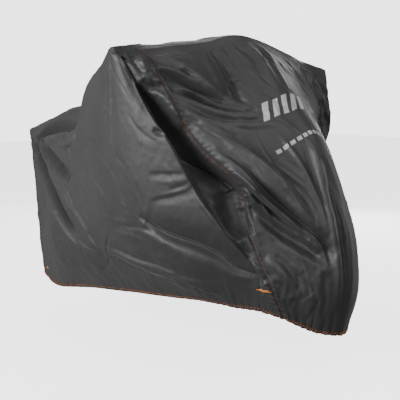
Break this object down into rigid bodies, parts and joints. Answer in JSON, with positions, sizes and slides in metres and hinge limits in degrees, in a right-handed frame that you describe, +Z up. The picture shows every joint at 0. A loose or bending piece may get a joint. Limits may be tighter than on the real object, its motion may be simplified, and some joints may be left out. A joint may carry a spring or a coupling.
{
  "type": "motorcycle cover",
  "caption": "Fitted outdoor motorcycle cover of thin coated cloth, draped over handlebar, screen and tail, hollow and open below, with bound lock holes near its hem.",
  "frame": {"origin": "the place under the cover's top where the handlebar and screen carry it, 38 mm under the cloth, in the middle plane", "axes": "+X to the front of the covered machine and along the cover's length, +Y to the machine's left, +Z up"},
  "size_m": [2.2878, 1.171, 1.197],
  "materials": {
    "coated_cloth": "satin, tightly woven, coated",
    "orange_tape": "matt woven tape"
  },
  "bodies": {
    "root": {"front_panel": "coated_cloth", "saddle_panel": "coated_cloth", "side_panel_left": "coated_cloth", "side_panel_right": "coated_cloth", "lock_patch_front_left": "coated_cloth", "lock_patch_front_right": "coated_cloth", "lock_patch_rear_left": "coated_cloth", "lock_patch_rear_right": "coated_cloth", "lock_binding_front_left": "orange_tape", "lock_binding_front_right": "orange_tape", "lock_binding_rear_left": "orange_tape", "lock_binding_rear_right": "orange_tape"}
  },
  "joints": []
}
